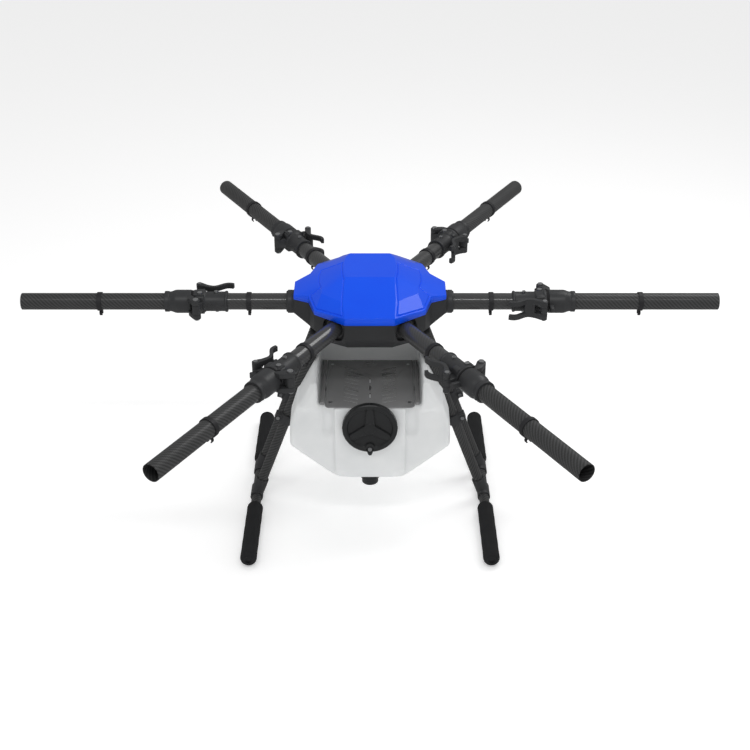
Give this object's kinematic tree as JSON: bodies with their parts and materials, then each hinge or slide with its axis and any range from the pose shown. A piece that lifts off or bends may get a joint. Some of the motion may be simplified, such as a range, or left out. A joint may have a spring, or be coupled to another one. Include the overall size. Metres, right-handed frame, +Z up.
{
  "type": "agricultural spray drone",
  "caption": "Folding multi-arm spray drone frame with slide-in liquid tank, battery bay, latch levers and foam skids.",
  "frame": {"origin": "on the floor below the middle of the frame, where the drone stands on its foam sleeves", "axes": "+Z up, -Y towards the front with the filler cap, +X along arm 0"},
  "size_m": [1.67, 1.4662, 0.6239],
  "materials": {
    "cover_blue": "glossy moulded",
    "shell_grey": "satin moulded",
    "carbon_tube": "gloss carbon twill",
    "carbon_plate": "satin carbon sheet",
    "joint_black": "anodised black",
    "clip_black": "moulded nylon",
    "steel": "bright",
    "alloy": "bead blasted",
    "rubber": "soft",
    "foam": "closed-cell foam",
    "tank_white": "translucent blow moulded",
    "tray_grey": "satin moulded",
    "cap_black": "moulded",
    "board_green": "lacquered",
    "strainer_blue": "moulded mesh"
  },
  "bodies": {
    "airframe": {"lower_shell": "shell_grey", "top_cover": "cover_blue", "cover_screws": "steel", "cover_posts": "clip_black", "upper_plate": "carbon_plate", "lower_plate": "carbon_plate", "plate_spacers": "alloy", "arm_root_clamps": "joint_black", "arm_collars": "joint_black", "inner_tubes": "carbon_tube", "inner_joints": "joint_black", "joint_seals": "rubber", "hinge_pins": "steel", "lever_pins": "steel", "frame_bolts": "steel", "inner_hose_clips": "clip_black", "power_board": "board_green", "flight_controller": "clip_black", "leg_tubes": "carbon_tube", "leg_brackets": "joint_black", "leg_clamps": "joint_black", "tank_rails": "joint_black", "skid_tubes": "carbon_tube", "skid_tees": "joint_black", "foam_sleeves": "foam", "skid_end_caps": "clip_black"},
    "tank_unit": {"tank": "tank_white", "neck_ring": "tank_white", "battery_tray": "tray_grey", "tray_side_rails": "tray_grey", "tray_screws": "steel", "strainer": "strainer_blue", "drain_outlet": "cap_black"},
    "cap_seal": {"cap_seal": "rubber"},
    "filler_cap": {"filler_cap": "cap_black", "cap_bolt": "steel"},
    "arm_0": {"outer_joint_0": "joint_black", "outer_tube_0": "carbon_tube", "hose_clip_0": "clip_black"},
    "latch_0": {"latch_lever_0": "joint_black"},
    "arm_1": {"outer_joint_1": "joint_black", "outer_tube_1": "carbon_tube", "hose_clip_1": "clip_black"},
    "latch_1": {"latch_lever_1": "joint_black"},
    "arm_2": {"outer_joint_2": "joint_black", "outer_tube_2": "carbon_tube", "hose_clip_2": "clip_black"},
    "latch_2": {"latch_lever_2": "joint_black"},
    "arm_3": {"outer_joint_3": "joint_black", "outer_tube_3": "carbon_tube", "hose_clip_3": "clip_black"},
    "latch_3": {"latch_lever_3": "joint_black"},
    "arm_4": {"outer_joint_4": "joint_black", "outer_tube_4": "carbon_tube", "hose_clip_4": "clip_black"},
    "latch_4": {"latch_lever_4": "joint_black"},
    "arm_5": {"outer_joint_5": "joint_black", "outer_tube_5": "carbon_tube", "hose_clip_5": "clip_black"},
    "latch_5": {"latch_lever_5": "joint_black"}
  },
  "joints": [
    {"name": "arm_fold_0", "type": "hinge", "parent": "airframe", "child": "arm_0", "pos_m": [0.412, 0.042, 0.54], "axis": [0, 0, 1], "range_deg": [0, 105]},
    {"name": "latch_0", "type": "hinge", "parent": "airframe", "child": "latch_0", "pos_m": [0.413, -0.047, 0.54], "axis": [0, 0, 1], "range_deg": [0, 95]},
    {"name": "arm_fold_1", "type": "hinge", "parent": "airframe", "child": "arm_1", "pos_m": [0.16963, 0.3778, 0.54], "axis": [0, 0, 1], "range_deg": [0, 105]},
    {"name": "latch_1", "type": "hinge", "parent": "airframe", "child": "latch_1", "pos_m": [0.2472, 0.33417, 0.54], "axis": [0, 0, 1], "range_deg": [0, 95]},
    {"name": "arm_fold_2", "type": "hinge", "parent": "airframe", "child": "arm_2", "pos_m": [-0.24237, 0.3358, 0.54], "axis": [0, 0, 1], "range_deg": [0, 105]},
    {"name": "latch_2", "type": "hinge", "parent": "airframe", "child": "latch_2", "pos_m": [-0.1658, 0.38117, 0.54], "axis": [0, 0, 1], "range_deg": [0, 95]},
    {"name": "arm_fold_3", "type": "hinge", "parent": "airframe", "child": "arm_3", "pos_m": [-0.412, -0.042, 0.54], "axis": [0, 0, 1], "range_deg": [0, 105]},
    {"name": "latch_3", "type": "hinge", "parent": "airframe", "child": "latch_3", "pos_m": [-0.413, 0.047, 0.54], "axis": [0, 0, 1], "range_deg": [0, 95]},
    {"name": "arm_fold_4", "type": "hinge", "parent": "airframe", "child": "arm_4", "pos_m": [-0.16963, -0.3778, 0.54], "axis": [0, 0, 1], "range_deg": [0, 105]},
    {"name": "latch_4", "type": "hinge", "parent": "airframe", "child": "latch_4", "pos_m": [-0.2472, -0.33417, 0.54], "axis": [0, 0, 1], "range_deg": [0, 95]},
    {"name": "arm_fold_5", "type": "hinge", "parent": "airframe", "child": "arm_5", "pos_m": [0.24237, -0.3358, 0.54], "axis": [0, 0, 1], "range_deg": [0, 105]},
    {"name": "latch_5", "type": "hinge", "parent": "airframe", "child": "latch_5", "pos_m": [0.1658, -0.38117, 0.54], "axis": [0, 0, 1], "range_deg": [0, 95]},
    {"name": "tank_slide", "type": "slide", "parent": "airframe", "child": "tank_unit", "axis": [0, -1, 0], "range_m": [0, 0.3]},
    {"name": "cap_lift", "type": "slide", "parent": "tank_unit", "child": "cap_seal", "axis": [0, -1, 0], "range_m": [0, 0.12]},
    {"name": "cap_turn", "type": "hinge", "parent": "cap_seal", "child": "filler_cap", "pos_m": [0, -0.19, 0.304], "axis": [0, -1, 0], "range_deg": [0, 360]}
  ]
}
